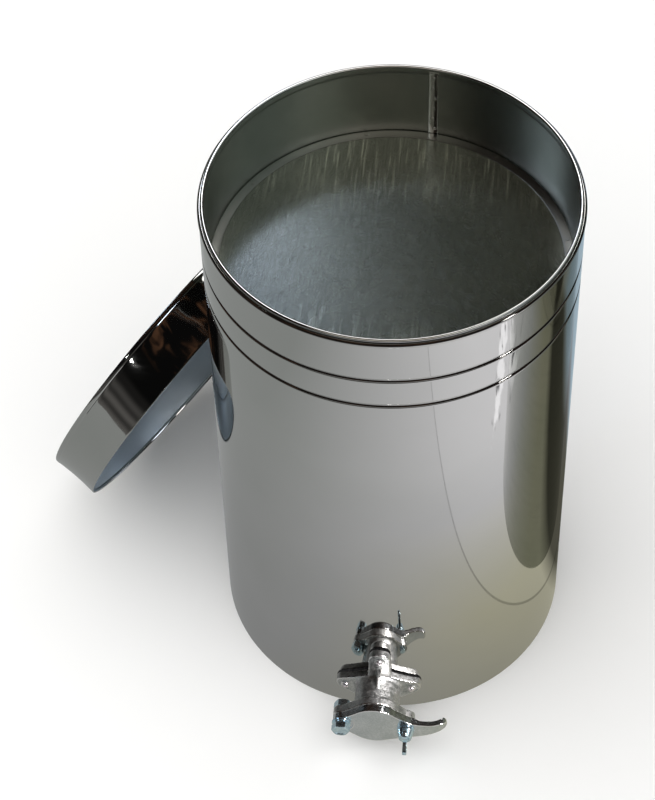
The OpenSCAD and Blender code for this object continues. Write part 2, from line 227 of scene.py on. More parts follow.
def cast_steel(name, dark, light, worn_highlight_tone, rough_low, rough_high, relief):
    """Cast and tumbled metal: fine pits, cloudy tone, and edges painted bright, partly as rubbed metal
    and partly as a painted highlight.
    """
    n = Nodes(name)
    grain = n.noise(560, 3, roughness=0.65)
    pits = n.noise(300, 4)
    cloud = n.spread(n.noise(60, 4), 0, 0.6)
    body = n.mix(n.math("ADD", cloud, n.spread(grain, -0.25, 0.5)), dark, light)
    edge_pointiness = n.add("ShaderNodeNewGeometry").outputs["Pointiness"]
    # The edges are painted brighter: partly rubbed metal, partly a painted highlight.
    edge = n.spread(edge_pointiness, 0, 1, 0.502, 0.535)
    rubbed = n.spread(edge, 1.0, 0.5, 0, 1)
    n.set(
        Metallic=1.0,
        Base_Color=n.mix(edge, body, worn_highlight_tone),
        Roughness=n.math("MULTIPLY", n.spread(pits, rough_low, rough_high), rubbed),
        Normal=n.bump(grain, 0.00012, relief, n.bump(pits, 0.00030, relief)),
    )
    return n.material


def plated_steel(name, dark, light, rough_low, rough_high):
    """Plated fastener: bright, with slightly uneven plating."""
    n = Nodes(name)
    n.set(
        Metallic=1.0,
        Base_Color=n.mix(n.spread(n.noise(220, 3), 0, 1), dark, light),
        Roughness=n.spread(n.noise(500, 3), rough_low, rough_high),
        Normal=n.bump(n.noise(900, 2), 0.00003, 0.3),
    )
    return n.material


def rubber(name):
    """Matt black rubber with dust in its pores."""
    n = Nodes(name)
    dust = n.noise(300, 5)
    dusty = n.spread(dust, 0, 1, 0.45, 0.8)
    n.set(
        Base_Color=n.mix(dusty, colour(0.006, 0.006, 0.007), colour(0.04, 0.04, 0.04)),
        Roughness=n.spread(n.noise(120, 3), 0.5, 0.8),
        Normal=n.bump(dust, 0.00008, 0.6),
    )
    return n.material


drum_steel = polished_steel("drum_steel", colour(0.60, 0.60, 0.58), colour(0.64, 0.635, 0.62))
# Painted shade: a darker copy of the drum's steel, for the second drum that shows only in reflection.
dim_steel = polished_steel("dim_steel", colour(0.24, 0.26, 0.22), colour(0.28, 0.29, 0.26))
lid_dark, lid_light = colour(0.56, 0.56, 0.54), colour(0.62, 0.61, 0.59)
lid_steel = polished_steel("lid_steel", lid_dark, lid_light, 0.02, 0.08, 0.00003)
# The lid's inside is a satin finish, its colour painted paler and bluer than the outside as the
# daylight in the hollow.
daylit_hollow_dark, daylit_hollow_light = colour(0.70, 0.76, 0.80), colour(0.82, 0.88, 0.93)
lid_inside = satin_steel("lid_inside", daylit_hollow_dark, daylit_hollow_light, 0.34, 0.48)
inner_dark, inner_light = colour(0.42, 0.42, 0.40), colour(0.55, 0.55, 0.52)
drum_inside = satin_steel("drum_inside", inner_dark, inner_light, 0.18, 0.34)
hoop_dark, hoop_light = colour(0.34, 0.36, 0.33), colour(0.42, 0.43, 0.40)
strainer_steel = satin_steel("strainer_steel", hoop_dark, hoop_light, 0.30, 0.36)
ring_dark, ring_light = colour(0.38, 0.38, 0.36), colour(0.48, 0.47, 0.45)
ring_steel = satin_steel("ring_steel", ring_dark, ring_light, 0.28, 0.36)
roll_dark, roll_light = colour(0.58, 0.58, 0.57), colour(0.66, 0.66, 0.65)
rolled_steel = polished_steel("rolled_steel", roll_dark, roll_light, 0.04, 0.12)
cloth_dark, cloth_light = colour(0.36, 0.38, 0.34), colour(0.53, 0.55, 0.50)
# The cloth's third colour is the painted highlight of its streaks.
cloth_steel = woven_steel("cloth_steel", cloth_dark, cloth_light, colour(0.90, 0.93, 0.84))
hidden_wire = wire_steel("hidden_wire", colour(0.35, 0.35, 0.34), colour(0.5, 0.5, 0.48))
body_dark, body_light = colour(0.33, 0.35, 0.35), colour(0.84, 0.83, 0.82)
# Edge colour of the castings: partly rubbed metal, partly a painted highlight.
worn_edge_highlight = colour(0.95, 0.94, 0.92)
cast_metal = cast_steel("cast_metal", body_dark, body_light, worn_edge_highlight, 0.28, 0.48, 0.6)
blade_dark, blade_light = colour(0.62, 0.66, 0.68), colour(0.80, 0.83, 0.86)
blade_metal = cast_steel("blade_metal", blade_dark, blade_light, worn_edge_highlight, 0.14, 0.24, 0.12)
zinc = plated_steel("zinc_plate", colour(0.58, 0.76, 0.88), colour(0.80, 0.96, 1.0), 0.14, 0.26)
screw_dark, screw_light = colour(0.86, 0.80, 0.82), colour(0.97, 0.92, 0.94)
screw_steel = plated_steel("screw_plate", screw_dark, screw_light, 0.22, 0.32)
gasket_rubber = rubber("gasket_rubber")


# ---------------------------------------------------------------- mesh helpers


def new_object(name, data):
    made = bpy.data.objects.new(name, data)
    scene.collection.objects.link(made)
    return made


def mesh_from(name, verts, faces):
    mesh = bpy.data.meshes.new(name)
    mesh.from_pydata([tuple(v) for v in verts], [], [tuple(f) for f in faces])
    work = bmesh.new()
    work.from_mesh(mesh)
    bmesh.ops.recalc_face_normals(work, faces=work.faces)
    work.to_mesh(mesh)
    work.free()
    return mesh


def finish_piece(piece, material, body, nodes=(), sharp_degrees=32):
    """Gives a piece its shading, material and body, and hides the CAD nodes it stands in for."""
    piece.data.materials.clear()
    piece.data.materials.append(material)
    piece.data.shade_smooth()
    piece.data.set_sharp_from_angle(angle=math.radians(sharp_degrees))
    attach(piece, body)
    if nodes:
        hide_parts(*nodes)
    return piece


def line_with(piece, material, is_inside):
    """Gives a second material to the faces that is_inside picks by their middle and normal."""
    piece.data.materials.append(material)
    for face in piece.data.polygons:
        if is_inside(face.center, face.normal):
            face.material_index = 1


def skin(name, rings, loop=False):
    """A closed surface through rings of the same number of points; loop joins the last to the first."""
    rings = [np.asarray(ring, float) for ring in rings]
    count = len(rings[0])
    verts = np.concatenate(rings)
    faces = []
    for i in range(len(rings) if loop else len(rings) - 1):
        a, b = i * count, (i + 1) % len(rings) * count
        for k in range(count):
            m = (k + 1) % count
            faces.append((a + k, a + m, b + m, b + k))
    if not loop:
        ends = len(verts)
        verts = np.concatenate([verts, [rings[0].mean(0), rings[-1].mean(0)]])
        last = ends - count
        for k in range(count):
            m = (k + 1) % count
            faces.append((ends, m, k))
            faces.append((ends + 1, last + k, last + m))
    return new_object(name, mesh_from(name, verts, faces))


def circle_of(radius, z, segments):
    """One ring of points in millimetres; radius may be a number or one number for each point."""
    angles = np.arange(segments) * TURN / segments
    return np.stack([radius * np.cos(angles), radius * np.sin(angles), np.full(segments, z)], 1) * MM


def turned(name, profile, segments=384):
    """A closed profile of (radius, height) points in millimetres, turned about Z."""
    return skin(name, [circle_of(r, z, segments) for r, z in profile], loop=True)


def arc(cx, cy, r, start, end, steps):
    """Points of a circular arc, from start to end in degrees."""
    return [
        (cx + r * math.cos(math.radians(a)), cy + r * math.sin(math.radians(a)))
        for a in np.linspace(start, end, steps)
    ]


def rounded_box(r0, r1, z0, z1, radius):
    """The closed profile of a flat ring with rounded edges."""
    a, b = r0 + radius, r1 - radius
    c, d = z0 + radius, z1 - radius
    out = arc(b, c, radius, -90, 0, 4) + arc(b, d, radius, 0, 90, 4)
    return out + arc(a, d, radius, 90, 180, 4) + arc(a, c, radius, 180, 270, 4)


def evaluated(obj, name):
    """A new object with obj's modifiers applied; obj is removed."""
    depsgraph = bpy.context.evaluated_depsgraph_get()
    mesh = bpy.data.meshes.new_from_object(obj.evaluated_get(depsgraph))
    bpy.data.objects.remove(obj)
    mesh.name = name
    return new_object(name, mesh)


def cut(obj, cutter):
    """obj with cutter taken away."""
    name = obj.name
    obj.name = name + "_raw"
    step = obj.modifiers.new("cut", "BOOLEAN")
    step.operation = "DIFFERENCE"
    step.solver = "EXACT"
    step.object = cutter
    bpy.context.view_layer.update()
    made = evaluated(obj, name)
    bpy.data.objects.remove(cutter)
    return made


def joined(name, objects):
    """One object with the meshes of all the given ones, each in its place."""
    work = bmesh.new()
    for obj in objects:
        mesh = obj.data
        mesh.transform(obj.matrix_world)
        work.from_mesh(mesh)
        bpy.data.objects.remove(obj)
    mesh = bpy.data.meshes.new(name)
    work.to_mesh(mesh)
    work.free()
    return new_object(name, mesh)


def moved(obj, matrix):
    """obj with its mesh carried by matrix, and its origin left at the frame's."""
    obj.data.transform(matrix)
    return obj


def centre(node):
    low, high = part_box(node)
    return (low + high) / 2


def welded_copy(node, name):
    """A copy of a CAD node's mesh with its split corners joined."""
    mesh = frame["nodes"][node].data.copy()
    mesh.name = name
    mesh.materials.clear()
    work = bmesh.new()
    work.from_mesh(mesh)
    bmesh.ops.remove_doubles(work, verts=work.verts, dist=0.000002)
    work.to_mesh(mesh)
    work.free()
    return new_object(name, mesh)


def softened(node, name, voxel, passes):
    """A CAD node's shape as a casting or moulding: remeshed, with soft edges and fillets."""
    obj = welded_copy(node, name + "_raw")
    remesh = obj.modifiers.new("remesh", "REMESH")
    remesh.mode = "VOXEL"
    remesh.voxel_size = voxel
    smooth = obj.modifiers.new("smooth", "SMOOTH")
    smooth.factor = 0.5
    smooth.iterations = passes
    bpy.context.view_layer.update()
    return evaluated(obj, name)


def paint(node, material):
    """A carried-over CAD node with a finished material."""
    obj = frame["nodes"][node]
    obj.data.materials.clear()
    obj.data.materials.append(material)


# ---------------------------------------------------------------- drum

wall_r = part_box("tank_shell")[1].x / MM - 1
wall_t = 1.0
tank_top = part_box("tank_shell")[1].z / MM
roll_r = 2.3
roll_c = wall_r + 1 - roll_r
roll_z = tank_top - roll_r
groove_r = 2.2
groove_zs = (tank_top - 87.7, tank_top - 51.5)
gate_z = centre("pivot_flat_washer").z / MM
bore_r = 20
# Screw holes, across and up from the bore's middle, read from the screws
screw_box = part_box("flange_screws")
screw_r = 2.0
head_r = 3.6
side_hole_x = (screw_box[1].x - screw_box[0].x) / 2 / MM - head_r
top_hole_y = screw_box[1].z / MM - head_r - gate_z
screw_places = [(1.5, top_hole_y), (-side_hole_x, 0), (side_hole_x, 0)]


def at_gate(x, y, s):
    """The gate's frame: x to the right, y up, s outwards from the drum's axis; millimetres."""
    place = Matrix.Translation((x * MM, -s * MM, (y + gate_z) * MM))
    return place @ Matrix.Rotation(math.pi / 2, 4, "X")


def groove_points(z, r, side):
    """The half-round of one groove, on the outside going up (side 1) or inside going down (-1)."""
    lip = 0.7
    reach = 78 if side > 0 else 66
    bowl = arc(wall_r, z, r, 180 + side * reach, 180 - side * reach, 15)
    wall = wall_r if side > 0 else wall_r - wall_t
    edge = r + lip if side > 0 else r
    flat = [(wall, z - side * (edge + beyond)) for beyond in (3.0, 1.2, 0.5)]
    last = [(wall, z + side * (edge + beyond)) for beyond in (0.5, 1.2, 3.0)]
    return flat + [(wall - 0.05, z - side * edge)] + bowl + [(wall - 0.05, z + side * edge)] + last


def drum_profile():
    low, high = groove_zs
    levels = list(np.arange(8, 124, 4.0)) + list(np.arange(140, low - 8, 32.0))
    outer = [(wall_r - 0.25, 0.0), (wall_r, 0.4)] + [(wall_r, z) for z in levels]
    outer += groove_points(low, groove_r, 1) + groove_points(high, groove_r, 1)
    outer += [(wall_r, z) for z in (high + 20, roll_z - 6, roll_z - 3.4, roll_z - 2.6)]
    roll = arc(roll_c, roll_z, roll_r, -55, 278, 40)
    inner_r = wall_r - wall_t
    inner = groove_points(high, groove_r + wall_t, -1) + groove_points(low, groove_r + wall_t, -1)
    inner += [(inner_r, z) for z in reversed(levels)] + [(inner_r, 0.0)]
    return outer + roll + inner


def make_drum():
    drum = turned("drum_wall", drum_profile())
    holes = [(0, 0, bore_r, 96)] + [(x, y, screw_r + 0.2, 32) for x, y in screw_places]
    for x, y, r, segments in holes:
        drill = skin("drill", [circle_of(r, -20, segments), circle_of(r, 20, segments)])
        drum = cut(drum, moved(drill, at_gate(x, y, wall_r - 5)))
    finish_piece(drum, drum_steel, "tank", ["tank_shell"])
    below_roll = (roll_z - 3) * MM

    def is_inside(middle, normal):
        return middle.z < below_roll and middle.x * normal.x + middle.y * normal.y < 0

    line_with(drum, drum_inside, is_inside)


def make_drum_seam():
    """The welded joint of the drum's sheet, a low ground-down bead up its back."""
    back_az = math.radians(84)
    half_w, proud = 1.3, 0.12
    low, high = groove_zs
    outer = [(wall_r, z) for z in np.linspace(1.5, low - 3.4, 60)]
    outer += groove_points(low, groove_r, 1) + groove_points(high, groove_r, 1)
    outer += [(wall_r, z) for z in np.linspace(high + 3.4, roll_z - 2.6, 8)]
    rings = []
    for i, (r, z) in enumerate(outer):
        wide = half_w * (1 + 0.12 * math.sin(i * 1.7))
        lift = proud * (1 + 0.3 * math.sin(i * 2.3))
        half = [(-wide, -0.2), (-wide * 0.6, lift * 0.8)]
        section = half + [(0, lift)] + [(-across, up) for across, up in reversed(half)]
        rings.append([((r + up) * MM, across * MM, z * MM) for across, up in section])
    seam = moved(skin("drum_seam", rings), Matrix.Rotation(back_az, 4, "Z"))
    finish_piece(seam, rolled_steel, "tank")


make_drum()
make_drum_seam()
paint("tank_rim_wire", hidden_wire)
paint("tank_bottom", drum_inside)


# ---------------------------------------------------------------- strainer

strainer_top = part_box("strainer_hoop")[1].z / MM
hoop_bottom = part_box("strainer_hoop")[0].z / MM
hoop_t = 0.8
strainer_roll_r = 2.0
hoop_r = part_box("strainer_hoop")[1].x / MM - 2 * strainer_roll_r
strainer_roll_c = hoop_r + strainer_roll_r
strainer_roll_z = strainer_top - strainer_roll_r
mesh_low, mesh_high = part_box("strainer_mesh")
cloth_r = mesh_high.x / MM
clamp_low, clamp_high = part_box("strainer_clamp_ring")
clamp_z0, clamp_z1 = clamp_low.z / MM, clamp_high.z / MM
ring_w = 10
lap_az = math.radians(81)


def make_hoop():
    """The strainer's wall, rolled over a wire at the top, with a faint crease below the roll."""
    crease_z = strainer_top - 7.5
    outer = [(hoop_r + hoop_t, z) for z in np.linspace(hoop_bottom, strainer_roll_z - 3, 6)]
    roll = arc(strainer_roll_c, strainer_roll_z, strainer_roll_r, -126.9, 180, 34)
    crease = [(hoop_r, crease_z + 0.6), (hoop_r + 0.22, crease_z), (hoop_r, crease_z - 0.6)]
    inner = [(hoop_r, z) for z in np.linspace(crease_z - 3, hoop_bottom, 8)]
    hoop = turned("strainer_wall", outer + roll + crease + inner)
    finish_piece(hoop, rolled_steel, "strainer", ["strainer_hoop"])
    roll_bottom = (strainer_roll_z - 2.2) * MM
    line_with(hoop, strainer_steel, lambda middle, normal: middle.z < roll_bottom)


def on_hoop(angle, drop):
    """A place on the hoop's inside, drop millimetres below its top, with Z pointing to the axis."""
    return (
        Matrix.Rotation(angle, 4, "Z")
        @ Matrix.Translation((hoop_r * MM, 0, (strainer_top - drop) * MM))
        @ Matrix.Rotation(-math.pi / 2, 4, "Y")
    )


def weld_spot(name, r, h, segments=24):
    """A small round weld: a low dome with a sunk middle."""
    steps = [(1.0, -0.3), (0.96, 0.35), (0.8, 0.8), (0.6, 1.0), (0.35, 0.86), (0.12, 0.7)]
    return skin(name, [circle_of(r * a, h * b, segments) for a, b in steps])


def make_lap():
    """Where the hoop's sheet laps over itself, on the inside, with its row of weld spots."""
    width, top_drop = 10.0, 4.2
    lap_t = 0.8
    z0, z1 = clamp_z1, strainer_top - top_drop
    half = width / 2 / hoop_r
    proud = lap_t + 0.9
    section = [(-1, 0.2), (-1.02, -lap_t), (-1, -proud + 0.3)]
    section += [(-0.93, -proud), (-0.84, -proud + 0.3), (-0.78, -lap_t)]
    section += [(-x, out) for x, out in reversed(section)]
    rings = []
    for z in (z0, z0 + 0.1, z1 - 0.1, z1):
        ring = []
        for across, out in section:
            a, r = across * half, hoop_r + out
            ring.append((r * math.cos(a) * MM, r * math.sin(a) * MM, z * MM))
        rings.append(ring)
    lap = moved(skin("lap", rings), Matrix.Rotation(lap_az, 4, "Z"))
    spots = []
    for k, drop in enumerate(np.linspace(12, strainer_top - z0 - 7, 6)):
        sway = 0.006 * math.sin(2.1 * k)
        spot = weld_spot("spot", 2.3, 0.5)
        place = on_hoop(lap_az + sway, drop) @ Matrix.Translation((0, 0, lap_t * MM))
        spots.append(moved(spot, place))
    lap = joined("hoop_lap", [lap] + spots)
    finish_piece(lap, rolled_steel, "strainer", sharp_degrees=70)


def make_clamp_ring():
    ring = turned("clamp_ring", rounded_box(hoop_r - ring_w, hoop_r - 0.9, clamp_z0, clamp_z1, 0.3))
    spots = []
    for angle in (148, 193, 238, 283, 328, 13, 58, 103):
        spot = weld_spot("spot", 2.6, 0.45)
        place = Matrix.Rotation(math.radians(angle), 4, "Z")
        spots.append(moved(spot, place @ Matrix.Translation(((hoop_r - 4.5) * MM, 0, clamp_z1 * MM))))
    ring = joined("clamp_ring", [ring] + spots)
    finish_piece(ring, ring_steel, "strainer", ["strainer_clamp_ring"])


def make_cloth():
    """The strainer's mesh: a layer of wires across and one along, rolled flat where they cross."""
    wire_r, pitch = 0.15, 0.8
    middle = (mesh_low.z + mesh_high.z) / 2 / MM
    corners = ((wire_r, wire_r), (-wire_r, wire_r), (-wire_r, -wire_r), (wire_r, -wire_r))
    verts, faces = [], []
    for along_x in (True, False):
        z = middle + (wire_r if along_x else -wire_r) * 0.95
        for offset in np.arange(-cloth_r + pitch / 2, cloth_r, pitch):
            half = math.sqrt(cloth_r**2 - offset**2)
            first = len(verts)
            for end in (-half, half):
                for side, up in corners:
                    x, y = (end, offset + side) if along_x else (offset + side, end)
                    verts.append((x * MM, y * MM, (z + up) * MM))
            for k in range(4):
                m = (k + 1) % 4
                faces.append((first + k, first + m, first + 4 + m, first + 4 + k))
            faces.append((first, first + 3, first + 2, first + 1))
            faces.append((first + 4, first + 5, first + 6, first + 7))
    cloth = new_object("strainer_cloth", mesh_from("strainer_cloth", verts, faces))
    finish_piece(cloth, cloth_steel, "strainer", ["strainer_mesh"])


make_hoop()
make_lap()
make_clamp_ring()
make_cloth()
paint("strainer_rim_wire", hidden_wire)
paint("strainer_seat_ring", ring_steel)


# ---------------------------------------------------------------- lid


def joint(name):
    return next(j for j in frame["joints"] if j["name"] == name)


def lid_frame():
    """The lid's own frame, its radius and its depth, worked out from its box and its axis."""
    normal = Vector(joint("lid_slide")["axis"]).normalized()
    low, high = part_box("lid_skirt")
    across = [math.sqrt(1 - normal[k] ** 2) for k in (0, 2)]
    along = [abs(normal[k]) for k in (0, 2)]
    spans = [high.x - low.x, high.z - low.z]
    radius, depth = np.linalg.solve([[2 * across[0], along[0]], [2 * across[1], along[1]]], spans)
    side = Vector((0, 0, 1)).cross(normal).normalized()
    matrix = Matrix((side, normal.cross(side), normal)).transposed().to_4x4()
    matrix.translation = centre("lid_skirt") - normal * depth / 2
    return matrix, radius / MM, depth / MM


lid_place, lid_r, lid_depth = lid_frame()
lid_t = 0.7


def lid_wall(r, z):
    """The skirt's sheet is drawn in a little at half its depth."""
    waist = 1.2
    return r - waist * math.sin(math.pi * min(max(z / lid_depth, 0), 1))


def make_lid_skirt():
    """A band with a folded hem at its open edge and a rolled seam at the panel."""
    hem_h = 4.0
    seam_z = lid_depth - 5.2
    outer = arc(lid_r - lid_t, lid_t, lid_t, -90, 0, 6)
    outer += [(lid_wall(lid_r, z), z) for z in np.linspace(2, seam_z - 1.4, 24)]
    outer += [(lid_r - 0.35, seam_z - 0.7), (lid_r - 0.7, seam_z), (lid_r - 0.35, seam_z + 0.6)]
    outer += [(lid_r - 0.05, seam_z + 1.2)] + arc(lid_r - 1.1, lid_depth - 1.1, 1.1, 0, 90, 7)
    bead_w = 4.2
    inner = [(lid_r - bead_w, lid_depth), (lid_r - bead_w - 0.3, lid_depth - 0.3)]
    inner += [(lid_r - bead_w - 0.3, lid_depth - 1.2), (lid_r - 1.2, lid_depth - 1.5)]
    inner += [(lid_r - lid_t - 0.3, seam_z + 1.2), (lid_r - lid_t - 0.7, seam_z)]
    inner += [(lid_wall(lid_r - lid_t, z), z) for z in np.linspace(seam_z - 1.4, hem_h + 0.4, 22)]
    inner += [(lid_r - 2 * lid_t, hem_h), (lid_r - 2 * lid_t - 0.1, hem_h - 0.5)]
    inner += arc(lid_r - lid_t, lid_t, lid_t, -180, -100, 5)
    skirt = moved(turned("lid_band", outer + inner), lid_place)
    finish_piece(skirt, lid_steel, "lid", ["lid_skirt"])
    to_lid = lid_place.inverted()
    turn = to_lid.to_3x3()

    def is_inside(middle, normal):
        here, way = to_lid @ middle, turn @ normal
        inwards = here.x * way.x + here.y * way.y < 0
        return inwards and hem_h * MM < here.z < (lid_depth - 2) * MM

    line_with(skirt, lid_inside, is_inside)


def make_lid_panel():
    """The flat top, sunk a little inside the rolled seam, with two pressed stiffening rings."""
    sunk = 1.0
    edge_r = lid_r - 4.2
    top = lid_depth - sunk
    rings_at = (edge_r * 0.88, edge_r * 0.45)
    rise, ring_half = 1.1, 4.0
    radii = [0.02] + sorted(
        list(np.linspace(2, edge_r - 0.2, 24))
        + [r + step for r in rings_at for step in np.linspace(-ring_half, ring_half, 9)]
    )

    def height(r):
        swell = 0.0
        for at in rings_at:
            reach = abs(r - at) / ring_half
            if reach < 1:
                swell += rise * 0.5 * (1 + math.cos(math.pi * reach))
        return top + swell * 0.8 - rise * 0.5

    upper = [(r, height(r)) for r in radii]
    lower = [(r, height(r) - lid_t) for r in reversed(radii)]
    panel = moved(turned("lid_disc", upper + lower, 256), lid_place)
    finish_piece(panel, lid_steel, "lid", ["lid_panel"])
    outwards = lid_place.to_3x3() @ Vector((0, 0, 1))
    line_with(panel, lid_inside, lambda middle, normal: normal.dot(outwards) < 0)


make_lid_skirt()
make_lid_panel()


# ---------------------------------------------------------------- fasteners


def hex_radius(flats, segments):
    """The outline of a hexagon, one radius for each of the ring's points."""
    angles = np.degrees(np.arange(segments) * TURN / segments)
    return flats / 2 / np.cos(np.radians((angles + 0.01) % 60 - 30))


def hex_piece(name, flats, height, bore=0.0, both_ends=False, dish=0.0, segments=96):
    """A hexagon with turned-down corners, solid or bored, and with a dished top if asked for."""
    corner = hex_radius(flats, segments)
    face_r = flats / 2 * 0.94
    slope = 1.9
    levels = [0.0, 0.15, 0.5, 1.0, 1.5]
    up = [height - level for level in reversed(levels)]
    heights = levels + up if both_ends else [0.0] + up
    rings = []
    for z in heights:
        reach = min(z, height - z) if both_ends else height - z
        rings.append(circle_of(np.minimum(corner, face_r + reach * slope), z, segments))
    if bore:
        lead = 0.6
        rings += [circle_of(bore + lead, height, segments), circle_of(bore, height - lead, segments)]
        rings += [circle_of(bore, lead, segments), circle_of(bore + lead, 0, segments)]
    elif dish:
        rings.append(circle_of(face_r * 0.82, height, segments))
        rings.append(circle_of(face_r * 0.70, height - dish, segments))
    return skin(name, rings, loop=bool(bore))


def threaded_rod(name, radius, length, pitch, plain=0.0, segments=40):
    """A screw thread from plain to length, fading out at its end, on a rod that starts at zero."""
    depth = pitch * 0.55
    angles = np.arange(segments) / segments
    rings = [circle_of(radius, 0, segments)]
    if plain:
        rings.append(circle_of(radius, plain, segments))
    for z in np.arange(plain + 0.2, length - 0.05, pitch / 8):
        phase = (z / pitch - angles) % 1.0
        valley = np.abs(phase * 2 - 1)
        fade = min(1.0, (z - plain) / pitch)
        end = max(0.0, z - (length - 1.0))
        rings.append(circle_of(radius - depth * fade * valley - end * 0.8, z, segments))
    rings.append(circle_of(radius - depth - 0.6, length, segments))
    return skin(name, rings)


def flat_ring(name, outer, inner, height, segments=96):
    return turned(name, rounded_box(inner, outer, 0, height, min(0.3, height * 0.3)), segments)


def split_ring(name, outer, inner, height):
    """A spring washer: one turn of square wire with a slanted gap, pressed almost flat."""
    gap, spring = 5.0, 0.35
    rings = []
    edge = 0.25
    section = [(inner, edge), (inner + edge, 0), (outer - edge, 0), (outer, edge)]
    section += [(r, height - z) for r, z in reversed(section)]
    for angle in np.linspace(gap, 360 - gap, 90):
        tilt = spring * (angle / 360 - 0.5)
        ring = []
        for r, z in section:
            a = math.radians(angle + (z / height - 0.5) * 4)
            up = z * 0.9 + height * 0.05 + tilt * 0.3
            ring.append((r * math.cos(a) * MM, r * math.sin(a) * MM, up * MM))
        rings.append(ring)
    return skin(name, rings)


def depth_of(node):
    """Where a gate piece begins and ends along the bore's axis, in millimetres from the drum's axis."""
    low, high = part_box(node)
    return -high.y / MM, -low.y / MM


def zinc_part(piece, node, body="tank"):
    finish_piece(piece, zinc, body, [node])


def make_pivot():
    x = centre("pivot_flat_washer").x / MM
    bolt_from, bolt_to = depth_of("pivot_bolt")
    nut_from, nut_to = depth_of("pivot_nut")
    spring_from, spring_to = depth_of("pivot_spring_washer")
    flat_from, flat_to = depth_of("pivot_flat_washer")
    flats, shank_r, head_h, pitch = 17, 5.0, 7.0, 1.5
    spring_r, flat_r, washer_bore = 9, 10, 5.1
    thread_length = 12
    head = moved(hex_piece("head", flats, head_h, dish=0.7), at_gate(x, 0, bolt_to - head_h))
    # The rod runs backwards from the head, so that its thread is at the nut
    length = bolt_to - head_h - bolt_from + 0.5
    turn_back = at_gate(x, 0, bolt_to - head_h + 0.5) @ Matrix.Rotation(math.pi, 4, "X")
    rod = threaded_rod("rod", shank_r, length, pitch, plain=length - thread_length)
    rod = moved(rod, turn_back)
    zinc_part(joined("pivot_hex_bolt", [head, rod]), "pivot_bolt")
    nut = hex_piece("pivot_hex_nut", flats, nut_to - nut_from, shank_r, True)
    zinc_part(moved(nut, at_gate(x, 0, nut_from)), "pivot_nut")
    spring = split_ring("pivot_spring_ring", spring_r, washer_bore, spring_to - spring_from)
    zinc_part(moved(spring, at_gate(x, 0, spring_from)), "pivot_spring_washer")
    flat = flat_ring("pivot_flat_ring", flat_r, washer_bore, flat_to - flat_from)
    zinc_part(moved(flat, at_gate(x, 0, flat_from)), "pivot_flat_washer")


def make_lock():
    x, y = centre("lock_stud").x / MM, centre("lock_stud").z / MM - gate_z
    stud_from, stud_to = depth_of("lock_stud")
    ring_from, ring_to = depth_of("lock_washer")
    stud_r, pitch, plain_length = 4.0, 1.25, 12
    stud = threaded_rod("lock_screw", stud_r, stud_to - stud_from, pitch, plain_length)
    zinc_part(moved(stud, at_gate(x, y, stud_from)), "lock_stud")
    ring_r, clearance = 9.2, 0.08
    ring = flat_ring("lock_ring", ring_r, stud_r + clearance, ring_to - ring_from)
    zinc_part(moved(ring, at_gate(x, y, ring_from)), "lock_washer", "lock_washer")
    zinc_part(softened("wing_nut", "forged_wing_nut", 0.0004, 6), "wing_nut", "wing_nut")


def make_flange_screws():
    """Three slotted cheese-head screws, their nuts and washers inside the drum."""
    head_h, washer_r, washer_t, nut_t, flats = 2.9, 4.5, 0.9, 3.2, 7
    gasket_and_flange, boss_h = 9.5, 1.2
    flange_front = wall_r + gasket_and_flange
    screws, washers, nuts = [], [], []
    for x, y in screw_places:
        seat = math.sqrt(flange_front**2 - x**2) + boss_h
        washer_s = math.sqrt((wall_r - wall_t) ** 2 - (abs(x) + washer_r) ** 2) - 0.1
        nut_s = washer_s - washer_t - nut_t
        dome = [(1, 0), (1, 0.15), (0.95, 0.4), (0.84, 0.64), (0.66, 0.83), (0.4, 0.95), (0.15, 1)]
        head = skin("head", [circle_of(head_r * a, head_h * b, 48) for a, b in dome])
        slot = new_object("slot", bpy.data.meshes.new("slot"))
        work = bmesh.new()
        bmesh.ops.create_cube(work, size=1)
        work.to_mesh(slot.data)
        work.free()
        slot_size = Matrix.Diagonal((0.012, 0.001, 0.0018, 1))
        moved(slot, Matrix.Translation((0, 0, head_h * MM)) @ slot_size)
        head = cut(head, slot)
        length = seat - nut_s + 1.5
        turn_back = at_gate(x, y, seat + 0.3) @ Matrix.Rotation(math.pi, 4, "X")
        rod = threaded_rod("rod", screw_r, length, 0.7, plain=4, segments=24)
        twist = Matrix.Rotation(0.5 + x, 4, "Z")
        screws += [moved(head, at_gate(x, y, seat) @ twist), moved(rod, turn_back)]
        washer = flat_ring("washer", washer_r, screw_r + 0.15, washer_t, 48)
        washers.append(moved(washer, at_gate(x, y, washer_s - washer_t)))
        nut = hex_piece("nut", flats, nut_t, screw_r, True, segments=48)
        nuts.append(moved(nut, at_gate(x, y, nut_s)))
    sets = (
        ("flange_screw_set", screws, "flange_screws"),
        ("flange_washer_set", washers, "flange_washers"),
        ("flange_nut_set", nuts, "flange_nuts"),
    )
    for name, made, node in sets:
        finish_piece(joined(name, made), screw_steel, "tank", [node])


make_pivot()
make_lock()
make_flange_screws()


# ---------------------------------------------------------------- gate castings and gasket

gate_casting = softened("gate_body", "gate_casting", 0.0006, 6)
blade_casting = softened("gate_blade", "blade_casting", 0.0006, 5)
finish_piece(gate_casting, cast_metal, "tank", ["gate_body"])
finish_piece(blade_casting, blade_metal, "blade", ["gate_blade"])
paint("gate_gasket", gasket_rubber)


# ---------------------------------------------------------------- stage and light


def only_reflected(obj):
    """A card that is seen in the steel and nowhere else."""
    obj.visible_camera = False
    obj.visible_diffuse = False
    obj.visible_shadow = False
    obj.visible_transmission = False


def stage_piece(obj, material):
    obj.data.materials.append(material)
    return obj


def sheet_at(name, x0, x1, y0, y1, z):
    corners = [(x0, y0, z), (x1, y0, z), (x1, y1, z), (x0, y1, z)]
    return new_object(name, mesh_from(name, corners, [(0, 1, 2, 3)]))


